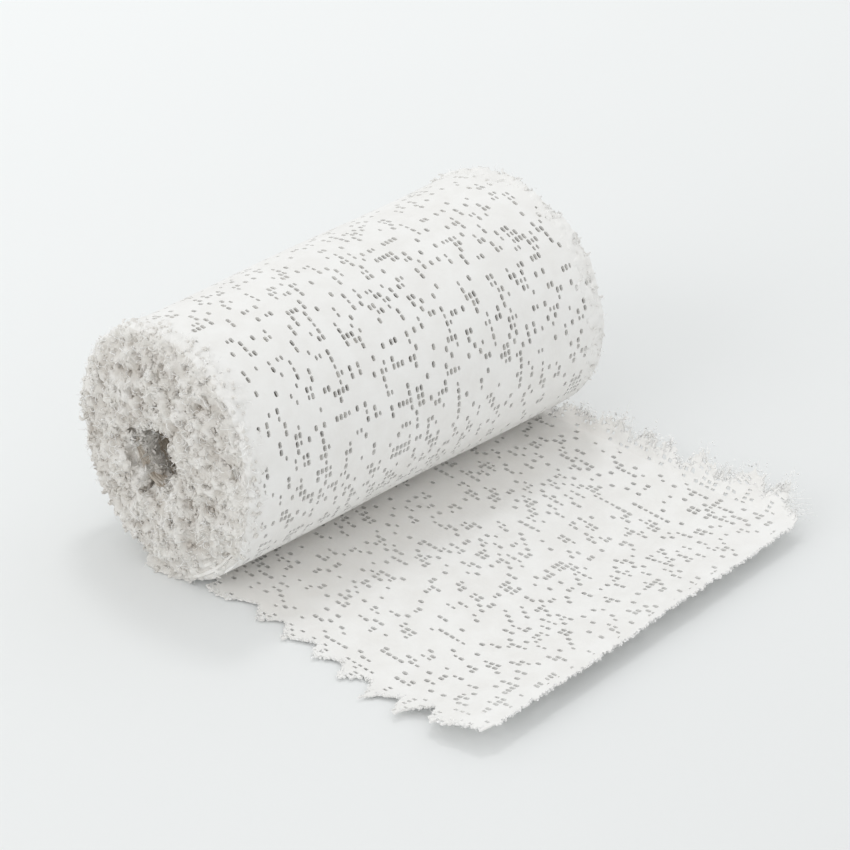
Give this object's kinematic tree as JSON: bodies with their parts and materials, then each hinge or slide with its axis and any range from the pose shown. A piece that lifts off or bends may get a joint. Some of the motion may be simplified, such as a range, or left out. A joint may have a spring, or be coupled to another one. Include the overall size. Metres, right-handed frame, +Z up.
{
  "type": "plaster bandage roll",
  "caption": "Strip of plaster-coated gauze wound round an open core, its frayed edges crusted with plaster and its loose end laid out flat.",
  "frame": {"origin": "on the surface it lies on, at the middle of the roll's flat spot", "axes": "+X along the roll's axis from the end in front to the far one, +Y away from the loose end, +Z up"},
  "size_m": [0.1059, 0.1057, 0.0513],
  "materials": {
    "plaster_cloth": "matte",
    "plaster_fray": "matte"
  },
  "bodies": {
    "root": {"roll": "plaster_cloth", "loose_end": "plaster_cloth", "frayed_face_left": "plaster_fray", "frayed_face_right": "plaster_fray", "fringe_left": "plaster_fray", "fringe_right": "plaster_fray"}
  },
  "joints": []
}
